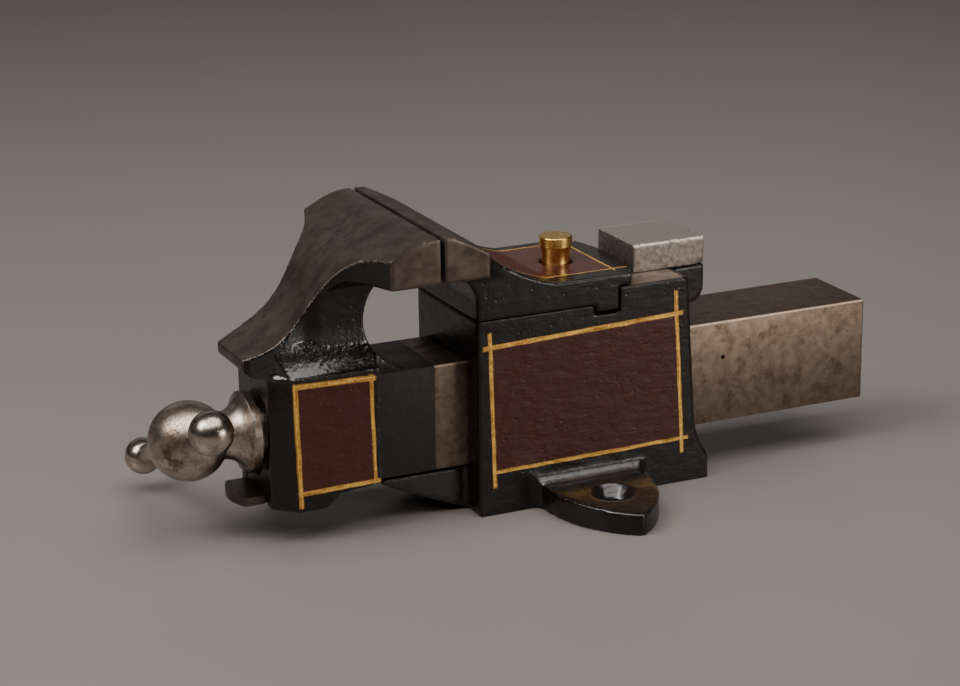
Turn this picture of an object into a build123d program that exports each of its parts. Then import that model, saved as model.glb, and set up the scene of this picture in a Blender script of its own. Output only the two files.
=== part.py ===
from build123d import *
import math
import os

# Small bench vise with a swivel rear jaw, in millimetres.
# Origin: underside of the base, midway between the two lug holes.
# +X runs to the rear along the slide, the lugs lie along Y, +Z is up.

# Driving dimensions: jaws
jaw_width = 64.0
jaw_plane_x = -49.6
jaw_gap = 1.0
jaw_top = 86.4
jaw_underside = 73.6
jaw_plate_thick = 4.0
throat_radius = 15.5

# Driving dimensions: base
body_width = 42.0
body_front = -34.6
body_rear = 32.4
cove_x = 34.9
cove_z = 19.5
foot_rear = 39.2
foot_height = 7.6
deck_top = 57.7
ledge_top = 62.2
groove_floor = 54.6
groove_inner = 31.6
groove_outer = 38.1
swivel_x = -22.0
corbel_rear = 42.9
corbel_bottom = 50.5
anvil_front = 19.4
anvil_rear = 42.5
anvil_width = 22.0
anvil_thick = 8.4
lug_reach = 54.4
lug_root = 37.6
lug_waist = 31.4
lug_hole_y = 36.0
lug_hole_r = 3.25

# Driving dimensions: slide, screw and handle
slide_width = 26.8
slide_bottom = 13.8
slide_top = 44.6
slide_front = -84.0
slide_rear = 96.6
slide_wall = 4.5
slide_roof = 7.0
screw_z = 29.2
journal_r = 7.0
thread_r = 6.0
screw_end = 66.0
ball_x = -113.1
ball_r = 11.25
handle_r = 3.0
handle_angle = 23.0
near_ball_at = 21.9
near_ball_r = 6.25
far_ball_at = 46.3
far_ball_r = 5.4

# Driving dimensions: front jaw casting
pad_x = -93.8
box_rear = -62.8
box_width = 35.2
pad_width = 23.4
box_top = 48.0
neck_width = 25.0
shoulder_top = 56.0
lip_x = -100.1

# Driving dimensions: fasteners and pins
swivel_bolt_r = 4.45
swivel_head_r = 7.8
pin_r = 3.0
pin_bottom = 48.6
knob_r = 4.8
knob_foot_r = 4.45
dowel_r = 2.0
dowel_places = ((25.0, 0), (37.0, 0))
slide_screw_r = 2.0
slide_screw_head_r = 3.5
slide_screw_places = ((-78.0, 0), (-70.0, 0))
nut_bolt_r = 2.98
nut_bolt_head_r = 5.4
rivet_r = 2.0
rivet_y = 20.0
rivet_z = 80.0
rivet_length = 9.0

# Clearances
slide_fit = 0.15
running = 0.05
close_fit = 0.02

os.makedirs("parts", exist_ok=True)

half_gap = jaw_gap / 2
half_jaw = jaw_width / 2
half_body = body_width / 2
half_slide = slide_width / 2
throat_z = slide_top + throat_radius
throat_reach = 22.4
side_plane = Plane.XZ
beyond = 100.0


def save(piece, name):
    """Label one finished piece and write its file."""
    piece.label = name
    export_step(piece, f"parts/{name}.step")


# Cylinder across the vise that rounds the throat between the necks, short of the head ends
throat_place = Plane((jaw_plane_x, 0, throat_z), x_dir=(1, 0, 0), z_dir=(0, -1, 0))
throat_tool = throat_place * Cylinder(throat_radius, 2 * throat_reach)


# Bolting lug: pointed plan that flares at the wall, top flat past a steep root, countersunk hole
lug_root_height = 9.6
lug_hole_height = 7.0
lug_tip_height = 6.3
lug_sink_r = 6.3
lug_tip_r = 2.0
with BuildPart() as lug:
    with BuildSketch(Plane.XY):
        with BuildLine():
            half_root = lug_root / 2
            half_waist = lug_waist / 2
            hidden_y = -half_body + 2.5
            Polyline((-half_root, -half_body), (-half_root, hidden_y), (half_root, hidden_y),
                     (half_root, -half_body))
            ThreePointArc((-half_root, -half_body), (-0.9 - half_waist, -22.2), (-half_waist, -24.5))
            ThreePointArc((-half_waist, -24.5), (-12.9, -39.0), (0, -lug_reach))
            ThreePointArc((0, -lug_reach), (12.9, -39.0), (half_waist, -24.5))
            ThreePointArc((half_waist, -24.5), (0.9 + half_waist, -22.2), (half_root, -half_body))
        make_face()
    extrude(amount=lug_root_height)
    fillet(lug.edges().filter_by(Axis.Z).sort_by(Axis.Y)[0], lug_tip_r)
    with BuildSketch(Plane.YZ):
        with BuildLine():
            ThreePointArc((-half_body, lug_root_height), (-22.7, 8.0), (-25.5, 7.4))
            Polyline((-25.5, 7.4), (-lug_reach, lug_tip_height), (-lug_reach, lug_root_height + 2),
                     (-half_body, lug_root_height + 2), (-half_body, lug_root_height))
        make_face()
    extrude(amount=lug_root, both=True, mode=Mode.SUBTRACT)
    with Locations((0, -lug_hole_y, lug_hole_height)):
        CounterSinkHole(lug_hole_r, lug_sink_r, depth=2 * lug_hole_height)

# Base casting: body, foot, nose under the slide, corbel, lugs and slide channel
swivel_recess = 4.0
dowel_bottom = 56.2
nut_counterbore = 6.5
with BuildPart() as base_body:
    with BuildSketch(side_plane):
        with BuildLine():
            Polyline((foot_rear, foot_height), (foot_rear, 0), (body_front, 0), (body_front, ledge_top),
                     (body_rear, ledge_top), (cove_x, cove_z))
            TangentArc((cove_x, cove_z), (foot_rear, foot_height),
                       tangent=(cove_x - body_rear, cove_z - ledge_top))
        make_face()
    extrude(amount=half_body, both=True)
    rear_corners = base_body.edges().filter_by(
        lambda e: abs(abs(e.center().Y) - half_body) < 0.01 and e.center().X > body_rear
        and foot_height < e.center().Z < ledge_top)
    fillet(rear_corners, 1.4)
    with BuildSketch(side_plane):
        with BuildLine():
            Polyline((body_front + 1, 0), (body_front, 0), (body_front, 0.3))
            ThreePointArc((body_front, 0.3), (-48.0, 5.6), (-61.0, 11.6))
            Polyline((-61.0, 11.6), (-61.0, 12.9), (body_front + 1, 12.9), (body_front + 1, 0))
        make_face()
    extrude(amount=half_slide - 0.6, both=True)
    with BuildSketch(side_plane):
        with Locations(((body_rear + corbel_rear) / 2 - 2, (corbel_bottom + ledge_top) / 2)):
            Rectangle(corbel_rear - body_rear + 4, ledge_top - corbel_bottom)
    extrude(amount=anvil_width / 2 - 0.3, both=True)
    corbel_edge = base_body.edges().filter_by(Axis.Y).filter_by(
        lambda e: abs(e.center().X - corbel_rear) < 0.01 and e.center().Z < ledge_top - 1)
    fillet(corbel_edge, 5.0)
    # front deck, arc groove and ledge, all turned about the swivel axis
    with BuildSketch(Plane.XY.offset(deck_top)):
        with Locations((swivel_x, 0)):
            Circle(groove_inner + 1)
    extrude(amount=20, mode=Mode.SUBTRACT)
    with BuildSketch(Plane.XY.offset(groove_floor)):
        with Locations((swivel_x, 0)):
            Circle(groove_outer)
            Circle(groove_inner, mode=Mode.SUBTRACT)
    extrude(amount=20, mode=Mode.SUBTRACT)
    # slide channel
    with BuildSketch(Plane.YZ.offset(body_front - 1)):
        with Locations((0, (slide_bottom + slide_top) / 2)):
            Rectangle(slide_width + 2 * slide_fit, slide_top - slide_bottom + 2 * slide_fit)
    extrude(amount=beyond, mode=Mode.SUBTRACT)
    add(lug.part)
    add(mirror(lug.part, about=Plane.XZ))
    # swivel bolt hole with its counterbore in the channel roof
    with BuildSketch(Plane.XY.offset(slide_top)):
        with Locations((swivel_x, 0)):
            Circle(swivel_bolt_r + running)
    extrude(amount=deck_top - slide_top + 1, mode=Mode.SUBTRACT)
    with BuildSketch(Plane.XY.offset(slide_top)):
        with Locations((swivel_x, 0)):
            Circle(swivel_head_r + 0.6)
    extrude(amount=swivel_recess, mode=Mode.SUBTRACT)
    # lock pin hole, wide enough for the closed jaws to settle, and the anvil dowel holes
    with BuildSketch(Plane.XY.offset(pin_bottom - 0.6)):
        Circle(pin_r + 0.7)
    extrude(amount=deck_top - pin_bottom + 1, mode=Mode.SUBTRACT)
    with BuildSketch(Plane.XY.offset(dowel_bottom - 0.2)):
        with Locations(*dowel_places):
            Circle(dowel_r + close_fit)
    extrude(amount=ledge_top - dowel_bottom + 1, mode=Mode.SUBTRACT)
    # nut bolt hole, counterbored from below
    with BuildSketch(Plane.XY):
        Circle(nut_bolt_r + 0.12)
    extrude(amount=slide_bottom, mode=Mode.SUBTRACT)
    with BuildSketch(Plane.XY):
        Circle(nut_bolt_head_r + 0.4)
    extrude(amount=nut_counterbore, mode=Mode.SUBTRACT)
save(base_body.part, "base_body")

# Anvil block: bare steel, one rear corner rounded, doweled to the ledge
with BuildPart() as anvil_block:
    with BuildSketch(Plane.XY.offset(ledge_top + running)):
        with Locations(((anvil_front + anvil_rear) / 2, 0)):
            Rectangle(anvil_rear - anvil_front, anvil_width)
    extrude(amount=anvil_thick)
    rear_corner = anvil_block.edges().filter_by(Axis.Z).group_by(Axis.X)[-1].sort_by(Axis.Y)[-1]
    fillet(rear_corner, 6.5)
    with BuildSketch(Plane.XY.offset(ledge_top)):
        with Locations(*dowel_places):
            Circle(dowel_r + close_fit)
    extrude(amount=5, mode=Mode.SUBTRACT)
save(anvil_block.part, "anvil_block")

with BuildPart() as anvil_dowels:
    with BuildSketch(Plane.XY.offset(dowel_bottom)):
        with Locations(*dowel_places):
            Circle(dowel_r)
    extrude(amount=10.6)
save(anvil_dowels.part, "anvil_dowels")


# Rear jaw: one casting of tail, arc rib, swept back and head
tail_top = 65.9
knob_seat = 64.0
swivel_bolt_top = 65.2
tail_bottom = deck_top + 0.1
flange_bottom = ledge_top + 0.3
rear_face = jaw_plane_x + half_gap
with BuildPart() as tail_plate:
    with BuildSketch(Plane.XY.offset(tail_bottom)):
        with Locations((swivel_x, 0)):
            Circle(groove_outer - 0.25)
        with Locations((body_front + 40, 0)):
            Rectangle(80, body_width, mode=Mode.INTERSECT)
    extrude(amount=tail_top - tail_bottom)
    with BuildSketch(Plane.XY.offset(flange_bottom)):
        with BuildLine():
            Polyline((13.6, -half_body), (0, -half_body), (0, half_body), (13.6, half_body))
            ThreePointArc((13.6, half_body), (17.8, 0), (13.6, -half_body))
        make_face()
    extrude(amount=tail_top - flange_bottom)
    with BuildSketch(Plane.XY.offset(groove_floor + 1.1)):
        with Locations((swivel_x, 0)):
            Circle(groove_outer - 0.25)
            Circle(groove_inner + 0.25, mode=Mode.SUBTRACT)
        with Locations((body_front + 60, 0)):
            Rectangle(80, body_width, mode=Mode.INTERSECT)
    extrude(amount=5)

with BuildPart() as head_profile:
    with BuildSketch(side_plane):
        with BuildLine():
            Polyline((-20, tail_bottom), (body_front, tail_bottom), (body_front, 62.5),
                     (rear_face, jaw_underside - 8), (rear_face, jaw_top), (-46.2, jaw_top - 0.1))
            ThreePointArc((-46.2, jaw_top - 0.1), (-40.6, 83.6), (-35.2, 80.6))
            ThreePointArc((-35.2, 80.6), (-24.6, 71.9), (-10.0, tail_top))
            Polyline((-10.0, tail_top), (-10, tail_top - 2), (-20, tail_bottom))
        make_face()
    extrude(amount=half_jaw, both=True)

with BuildPart() as head_plan:
    with BuildSketch(Plane.XY.offset(tail_bottom)):
        with BuildLine():
            Polyline((-23.0, -half_body), (0, -half_body), (0, half_body), (-23.0, half_body))
            ThreePointArc((-23.0, half_body), (-31.2, 23.6), (-35.4, half_jaw))
            Polyline((-35.4, half_jaw), (-60, half_jaw), (-60, -half_jaw), (-35.4, -half_jaw))
            ThreePointArc((-35.4, -half_jaw), (-31.2, -23.6), (-23.0, -half_body))
        make_face()
    extrude(amount=40)

with BuildPart() as rear_jaw_whole:
    add(head_profile.part)
    add(head_plan.part, mode=Mode.INTERSECT)
    # the overhanging ends of the head stop at the jaw underside
    with BuildSketch(Plane.YZ.offset(rear_face - 1)):
        for side in (-1, 1):
            with BuildLine():
                Line((side * half_body, 50), (side * half_body, 69.0))
                ThreePointArc((side * half_body, 69.0), (side * 22.4, 72.3), (side * 25.6, jaw_underside))
                Polyline((side * 25.6, jaw_underside), (side * 40, jaw_underside), (side * 40, 50),
                         (side * half_body, 50))
            make_face()
    extrude(amount=40, mode=Mode.SUBTRACT)
    add(throat_tool, mode=Mode.SUBTRACT)
    add(tail_plate.part)
    # blind hole for the swivel bolt, through hole and sunk seat for the lock pin and its knob
    with BuildSketch(Plane.XY.offset(swivel_bolt_top + 0.3)):
        with Locations((swivel_x, 0)):
            Circle(swivel_bolt_r + running)
    extrude(amount=-beyond, mode=Mode.SUBTRACT)
    with BuildSketch(Plane.XY.offset(tail_top)):
        Circle(pin_r + running)
    extrude(amount=-beyond, mode=Mode.SUBTRACT)
    with BuildSketch(Plane.XY.offset(knob_seat - 0.1)):
        Circle(knob_foot_r + 0.25)
    extrude(amount=5, mode=Mode.SUBTRACT)

with BuildPart() as rear_plate_rivets:
    with BuildSketch(Plane.YZ.offset(rear_face + running)):
        with Locations((-rivet_y, rivet_z), (rivet_y, rivet_z)):
            Circle(rivet_r)
    extrude(amount=rivet_length)
save(rear_plate_rivets.part, "rear_plate_rivets")

with BuildPart() as rear_plate_zone:
    with BuildSketch(Plane.XY.offset(jaw_underside)):
        with Locations((rear_face + jaw_plate_thick / 2, 0)):
            Rectangle(jaw_plate_thick, jaw_width)
    extrude(amount=20)

with BuildPart() as rear_jaw_plate:
    add(rear_jaw_whole.part)
    add(rear_plate_zone.part, mode=Mode.INTERSECT)
    add(rear_plate_rivets.part, mode=Mode.SUBTRACT)
save(rear_jaw_plate.part, "rear_jaw_plate")

with BuildPart() as swivel_jaw:
    add(rear_jaw_whole.part)
    add(rear_plate_zone.part, mode=Mode.SUBTRACT)
    add(rear_plate_rivets.part, mode=Mode.SUBTRACT)
save(swivel_jaw.part, "swivel_jaw")

# Swivel bolt: rises through the channel roof and screws into the rear jaw
swivel_head_bottom = slide_top + 0.4
swivel_head_thick = 2.5
with BuildPart() as swivel_bolt:
    with BuildSketch(Plane.XY.offset(swivel_head_bottom)):
        with Locations((swivel_x, 0)):
            Circle(swivel_head_r)
    extrude(amount=swivel_head_thick)
    with BuildSketch(Plane.XY.offset(swivel_head_bottom)):
        with Locations((swivel_x, 0)):
            Circle(swivel_bolt_r)
    extrude(amount=swivel_bolt_top - swivel_head_bottom)
    with BuildSketch(Plane.XY.offset(swivel_head_bottom)):
        with Locations((swivel_x, 0)):
            Rectangle(2 * swivel_head_r + 1, 1.6)
    extrude(amount=1.0, mode=Mode.SUBTRACT)
save(swivel_bolt.part, "swivel_bolt")

with BuildPart() as swivel_washer:
    with BuildSketch(Plane.XY.offset(swivel_head_bottom + swivel_head_thick + running)):
        with Locations((swivel_x, 0)):
            Circle(swivel_head_r + 0.2)
            Circle(swivel_bolt_r + 0.15, mode=Mode.SUBTRACT)
    extrude(amount=0.9)
save(swivel_washer.part, "swivel_washer")

# Lock pin: steel shank with a waisted brass knob
knob_top = 73.6
knob_bore_top = 70.05
with BuildPart() as lock_pin:
    with BuildSketch(Plane.XY.offset(pin_bottom)):
        Circle(pin_r)
    extrude(amount=knob_bore_top - running - pin_bottom)
    chamfer(lock_pin.faces().sort_by(Axis.Z)[0].edges(), 0.6)
save(lock_pin.part, "lock_pin")

with BuildPart() as lock_pin_knob:
    with BuildSketch(side_plane):
        with BuildLine():
            rim_bottom = knob_top - 3.2
            waist_r = knob_foot_r - 0.4
            Polyline((0, knob_bore_top), (0, knob_top), (knob_r - 0.5, knob_top))
            ThreePointArc((knob_r - 0.5, knob_top), (knob_r - 0.15, knob_top - 0.15),
                          (knob_r, knob_top - 0.5))
            Polyline((knob_r, knob_top - 0.5), (knob_r, rim_bottom + 0.3), (knob_r - 0.35, rim_bottom))
            ThreePointArc((knob_r - 0.35, rim_bottom), (waist_r, rim_bottom - 2.6),
                          (knob_foot_r, knob_seat))
            Polyline((knob_foot_r, knob_seat), (pin_r + running, knob_seat),
                     (pin_r + running, knob_bore_top), (0, knob_bore_top))
        make_face()
    revolve(axis=Axis.Z)
save(lock_pin_knob.part, "lock_pin_knob")

# Front jaw casting: curved spine and head over a neck, eight-sided box, bored pad
front_face = jaw_plane_x - half_gap
spine_points = [(lip_x, 53.2), (-93.8, 55.5), (-88.5, 58.6), (-83.7, 63.0), (-78.7, 69.6), (-74.0, 75.7),
                (-69.7, 79.6), (-64.5, 82.0)]
with BuildPart() as jaw_side:
    with BuildSketch(side_plane):
        with BuildLine():
            Spline(spine_points, tangents=((1, 0.32), (1, 0.3)))
            Polyline((-64.5, 82.0), (-58.6, 84.9))
            ThreePointArc((-58.6, 84.9), (-55.0, 86.0), (-52.6, jaw_top))
            Polyline((-52.6, jaw_top), (front_face, jaw_top), (front_face, 46), (-92.0, 46),
                     (pad_x + 0.6, 47.8))
            ThreePointArc((pad_x + 0.6, 47.8), (-98.2, 48.6), (lip_x, 50.5))
            Polyline((lip_x, 50.5), (lip_x, 53.2))
        make_face()
    extrude(amount=half_jaw, both=True)

waist_points = [(lip_x, 9.9), (-97.0, 11.4), (-92.5, 12.4), (-86.0, 12.1), (-81.4, 11.6), (-77.7, 12.9),
                (-73.7, 15.6), (-69.7, 20.0), (-66.9, 25.5), (-64.6, half_jaw)]
with BuildPart() as jaw_plan:
    with BuildSketch(Plane.XY.offset(40)):
        with BuildLine():
            Spline([(x, -y) for x, y in waist_points])
            Polyline((-64.6, -half_jaw), (front_face, -half_jaw), (front_face, half_jaw), (-64.6, half_jaw))
            Spline(waist_points)
            Line((lip_x, 9.9), (lip_x, -9.9))
        make_face()
    extrude(amount=50)

with BuildPart() as shoulder:
    with BuildSketch(Plane.YZ.offset(pad_x + 1.5)):
        with BuildLine():
            half_box = box_width / 2
            half_neck = neck_width / 2
            low = box_top - 0.5
            Line((-half_box, low), (half_box, low))
            ThreePointArc((half_box, low), (half_neck + 1.7, 51.2), (half_neck - 0.4, shoulder_top))
            Line((half_neck - 0.4, shoulder_top), (0.4 - half_neck, shoulder_top))
            ThreePointArc((0.4 - half_neck, shoulder_top), (-half_neck - 1.7, 51.2), (-half_box, low))
        make_face()
    extrude(amount=box_rear - pad_x - 1.5)
    with BuildSketch(Plane.XY.offset(box_top - 2)):
        with BuildLine():
            half_pad = pad_width / 2
            Polyline((pad_x + 1.5, 0.5 - half_pad), (pad_x + 5.9, -half_box), (box_rear, -half_box),
                     (box_rear, half_box), (pad_x + 5.9, half_box), (pad_x + 1.5, half_pad - 0.5), close=True)
        make_face()
    extrude(amount=20, mode=Mode.INTERSECT)

with BuildPart() as box_block:
    with BuildSketch(side_plane):
        with BuildLine():
            Polyline((pad_x, box_top), (pad_x, 9.5), (-80.6, 9.5))
            ThreePointArc((-80.6, 9.5), (-78.6, 10.2), (-77.2, 11.6))
            Polyline((-77.2, 11.6), (-75.4, 13.1), (box_rear, 14.2), (box_rear, box_top), (pad_x, box_top))
        make_face()
    extrude(amount=half_box, both=True)
    front_corners = box_block.edges().filter_by(Axis.Z).group_by(Axis.X)[0]
    chamfer(front_corners, half_box - half_pad)
    pad_top = box_block.edges().filter_by(Axis.Y).filter_by(
        lambda e: abs(e.center().X - pad_x) < 0.01 and e.center().Z > box_top - 1)
    chamfer(pad_top, 0.5)

keeper_neck = 14.8
keeper_width = 18.8
slot_depth = 3.7
slot_bottom = 8.7
slot_top = 29.7
with BuildPart() as front_jaw_whole:
    add(jaw_side.part)
    add(jaw_plan.part, mode=Mode.INTERSECT)
    # the neck is narrower than the head above the jaw underside
    with BuildSketch(Plane.YZ.offset(-80)):
        for side in (-1, 1):
            with BuildLine():
                Line((side * neck_width / 2, 40), (side * neck_width / 2, 68.0))
                ThreePointArc((side * neck_width / 2, 68.0), (side * 14.4, 72.0), (side * 18.5, jaw_underside))
                Polyline((side * 18.5, jaw_underside), (side * 40, jaw_underside), (side * 40, 40),
                         (side * neck_width / 2, 40))
            make_face()
    extrude(amount=40, mode=Mode.SUBTRACT)
    add(shoulder.part)
    add(box_block.part)
    # skirt that carries the throat curve down to the top of the slide
    with BuildSketch(Plane.XY.offset(slide_top)):
        with Locations(((box_rear - 53.4) / 2 - 1, 0)):
            Rectangle(-53.4 - box_rear + 2, slide_width)
    extrude(amount=8)
    add(throat_tool, mode=Mode.SUBTRACT)
    # seat for the slide bar, open underneath
    with BuildSketch(Plane.XY):
        with Locations((slide_front + 30, 0)):
            Rectangle(60, slide_width)
    extrude(amount=slide_top, mode=Mode.SUBTRACT)
    # journal bore and the undercut slot of the screw keeper
    with BuildSketch(Plane.YZ.offset(pad_x - 1)):
        with Locations((0, screw_z)):
            Circle(journal_r + running)
    extrude(amount=20, mode=Mode.SUBTRACT)
    for slot_front, slot_width in ((pad_x, keeper_neck + 0.6), (pad_x + 1.4, keeper_width + 0.6)):
        with BuildSketch(Plane.YZ.offset(slot_front)):
            with Locations((0, (slot_top + slot_bottom) / 2)):
                Rectangle(slot_width, slot_top - slot_bottom)
        extrude(amount=pad_x + slot_depth - slot_front, mode=Mode.SUBTRACT)
    # screw holes that hold the slide bar to the casting
    with BuildSketch(Plane.XY.offset(slide_top - 1)):
        with Locations(*slide_screw_places):
            Circle(slide_screw_r + close_fit)
    extrude(amount=7, mode=Mode.SUBTRACT)

with BuildPart() as front_plate_rivets:
    with BuildSketch(Plane.YZ.offset(front_face - rivet_length - running)):
        with Locations((-rivet_y, rivet_z), (rivet_y, rivet_z)):
            Circle(rivet_r)
    extrude(amount=rivet_length)
save(front_plate_rivets.part, "front_plate_rivets")

with BuildPart() as front_plate_zone:
    with BuildSketch(Plane.XY.offset(jaw_underside)):
        with Locations((front_face - jaw_plate_thick / 2, 0)):
            Rectangle(jaw_plate_thick, jaw_width)
    extrude(amount=20)

with BuildPart() as front_jaw_plate:
    add(front_jaw_whole.part)
    add(front_plate_zone.part, mode=Mode.INTERSECT)
    add(front_plate_rivets.part, mode=Mode.SUBTRACT)
save(front_jaw_plate.part, "front_jaw_plate")

with BuildPart() as front_jaw:
    add(front_jaw_whole.part)
    add(front_plate_zone.part, mode=Mode.SUBTRACT)
    add(front_plate_rivets.part, mode=Mode.SUBTRACT)
save(front_jaw.part, "front_jaw")

# Slide bar: steel bar, hollow and open below, with the screw running inside
slide_ceiling = slide_top - slide_roof
with BuildPart() as slide_bar:
    with BuildSketch(Plane.YZ.offset(slide_front + running)):
        with Locations((0, (slide_bottom + slide_top) / 2)):
            Rectangle(slide_width, slide_top - slide_bottom)
    extrude(amount=slide_rear - slide_front)
    chamfer(slide_bar.faces().sort_by(Axis.X)[-1].edges(), 0.4)
    with BuildSketch(Plane.YZ.offset(slide_front - 1)):
        with Locations((0, slide_ceiling)):
            Rectangle(slide_width - 2 * slide_wall, slide_ceiling, align=(Align.CENTER, Align.MAX))
    extrude(amount=2 * beyond, mode=Mode.SUBTRACT)
    with BuildSketch(Plane.XY.offset(slide_ceiling)):
        with Locations(*slide_screw_places):
            Circle(slide_screw_r + close_fit)
    extrude(amount=slide_roof + 1, mode=Mode.SUBTRACT)
    with BuildSketch(Plane.XY.offset(slide_ceiling)):
        with Locations(*slide_screw_places):
            Circle(slide_screw_head_r + 0.1)
    extrude(amount=2.2, mode=Mode.SUBTRACT)
save(slide_bar.part, "slide_bar")

with BuildPart() as slide_screws:
    with BuildSketch(Plane.XY.offset(slide_ceiling + 0.2)):
        with Locations(*slide_screw_places):
            Circle(slide_screw_head_r)
    extrude(amount=2.0)
    with BuildSketch(Plane.XY.offset(slide_ceiling + 1)):
        with Locations(*slide_screw_places):
            Circle(slide_screw_r)
    extrude(amount=11.5)
    with BuildSketch(Plane.XY.offset(slide_ceiling)):
        with Locations(*slide_screw_places):
            Rectangle(2 * slide_screw_head_r + 1, 1.0)
    extrude(amount=1.0, mode=Mode.SUBTRACT)
save(slide_screws.part, "slide_screws")

# Main nut: stands on the channel floor inside the slide, bolted from below
nut_length = 24.0
nut_width = 17.2
nut_bottom = slide_bottom - slide_fit
nut_top = 37.05
with BuildPart() as main_nut:
    with BuildSketch(Plane.XY.offset(nut_bottom)):
        Rectangle(nut_length, nut_width)
    extrude(amount=nut_top - nut_bottom)
    chamfer(main_nut.edges().filter_by(Axis.X).group_by(Axis.Z)[-1], 1.5)
    with BuildSketch(Plane.YZ.offset(-nut_length)):
        with Locations((0, screw_z)):
            Circle(thread_r + running)
    extrude(amount=2 * nut_length, mode=Mode.SUBTRACT)
    with BuildSketch(Plane.XY.offset(nut_bottom)):
        Circle(nut_bolt_r + close_fit)
    extrude(amount=5.65, mode=Mode.SUBTRACT)
save(main_nut.part, "main_nut")

nut_bolt_bottom = 1.5
with BuildPart() as nut_bolt:
    with BuildSketch(Plane.XY.offset(nut_bolt_bottom)):
        Circle(nut_bolt_head_r)
    extrude(amount=4.9)
    with BuildSketch(Plane.XY.offset(nut_bolt_bottom)):
        Circle(nut_bolt_r)
    extrude(amount=17)
    with BuildSketch(Plane.XY.offset(nut_bolt_bottom)):
        RegularPolygon(2.6, 6)
    extrude(amount=2.8, mode=Mode.SUBTRACT)
save(nut_bolt.part, "nut_bolt")

# Screw: ball head, flared collar, keeper groove, journal and thread (at major diameter)
collar_back = -95.3
collar_front = -97.3
collar_r = 11.6
neck_r = 6.7
groove_r = 5.0
groove_front = pad_x + 0.1
groove_back = pad_x + 3.75
handle_slope = math.radians(handle_angle)
handle_plane = Plane((ball_x, 0, screw_z), x_dir=(1, 0, 0),
                     z_dir=(0, -math.cos(handle_slope), math.sin(handle_slope)))
with BuildPart() as screw:
    with BuildSketch(side_plane):
        with BuildLine():
            ball_end = ball_x + math.sqrt(ball_r ** 2 - neck_r ** 2)
            ball_tip = (ball_x - ball_r, screw_z)
            ThreePointArc(ball_tip, (ball_x, screw_z + ball_r), (ball_end, screw_z + neck_r))
            rim_start = (collar_front - 0.3, screw_z + collar_r - 0.3)
            ThreePointArc((ball_end, screw_z + neck_r), (-101.0, screw_z + 7.3), rim_start)
            Polyline(rim_start, (collar_front, screw_z + collar_r), (collar_back, screw_z + collar_r),
                     (collar_back, screw_z + journal_r), (groove_front, screw_z + journal_r),
                     (groove_front, screw_z + groove_r), (groove_back, screw_z + groove_r),
                     (groove_back, screw_z + journal_r), (slide_front - 0.5, screw_z + journal_r),
                     (slide_front + 0.5, screw_z + thread_r), (screw_end - 1.5, screw_z + thread_r),
                     (screw_end, screw_z + thread_r - 1.5), (screw_end, screw_z), ball_tip)
        make_face()
    revolve(axis=Axis((0, 0, screw_z), (1, 0, 0)))
    with BuildSketch(handle_plane):
        Circle(handle_r + running)
    extrude(amount=2 * ball_r, both=True, mode=Mode.SUBTRACT)
save(screw.part, "screw")

with BuildPart() as thrust_washer:
    with BuildSketch(Plane.YZ.offset(collar_back + running)):
        with Locations((0, screw_z)):
            Circle(9.2)
            Circle(journal_r + 0.1, mode=Mode.SUBTRACT)
    extrude(amount=pad_x - collar_back - 2 * running)
save(thrust_washer.part, "thrust_washer")

# Screw keeper: forked plate in the undercut slot, with a thumb tab bent forwards
keeper_bottom = 10.2
tab_front = -102.2
tab_half = 8.0
with BuildPart() as screw_keeper:
    for plate_front, plate_width in ((pad_x + 1.5, keeper_width), (pad_x + 0.2, keeper_neck)):
        with BuildSketch(Plane.YZ.offset(plate_front)):
            with Locations((0, (keeper_bottom + screw_z) / 2)):
                Rectangle(plate_width, screw_z - keeper_bottom)
        extrude(amount=2.0)
    with BuildSketch(Plane.XY.offset(keeper_bottom)):
        with BuildLine():
            half_root = keeper_neck / 2
            Polyline((pad_x + 1.2, -half_root), (pad_x - 0.5, -half_root), (pad_x - 0.5, -tab_half),
                     (tab_front + 2.3, -tab_half))
            ThreePointArc((tab_front + 2.3, -tab_half), (tab_front, 0), (tab_front + 2.3, tab_half))
            Polyline((tab_front + 2.3, tab_half), (pad_x - 0.5, tab_half), (pad_x - 0.5, half_root),
                     (pad_x + 1.2, half_root), (pad_x + 1.2, -half_root))
        make_face()
    extrude(amount=2.5)
    with BuildSketch(Plane.YZ.offset(pad_x - 1)):
        with Locations((0, screw_z)):
            SlotCenterPoint((0, 0), (0, 8), 2 * groove_r + 0.2)
    extrude(amount=10, mode=Mode.SUBTRACT)
save(screw_keeper.part, "screw_keeper")

# Sliding handle: rod through the ball head, with a ball pressed on each end
near_plane = handle_plane.offset(near_ball_at)
far_plane = handle_plane.offset(-far_ball_at)
rod_sunk = 1.2
tenon_r = 2.0
tenon_past = 2.0
with BuildPart() as handle_rod:
    with BuildSketch(handle_plane.offset(-(far_ball_at - far_ball_r + rod_sunk))):
        Circle(handle_r)
    extrude(amount=near_ball_at + far_ball_at - near_ball_r - far_ball_r + 2 * rod_sunk)
    with BuildSketch(far_plane.offset(-tenon_past)):
        Circle(tenon_r)
    extrude(amount=near_ball_at + far_ball_at + 2 * tenon_past)
save(handle_rod.part, "handle_rod")


def handle_ball(place, radius, towards_rod):
    """End ball with a seat for the rod's shoulder and a blind hole for its tenon."""
    with BuildPart(place) as ball:
        Sphere(radius)
        with BuildSketch(place.offset(towards_rod * (radius - rod_sunk))):
            Circle(handle_r + close_fit)
        extrude(amount=towards_rod * radius, mode=Mode.SUBTRACT)
        with BuildSketch(place.offset(-towards_rod * (tenon_past + 0.1))):
            Circle(tenon_r + close_fit)
        extrude(amount=towards_rod * 2 * radius, mode=Mode.SUBTRACT)
    return ball.part


save(handle_ball(near_plane, near_ball_r, -1), "handle_ball_near")
save(handle_ball(far_plane, far_ball_r, 1), "handle_ball_far")
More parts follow.
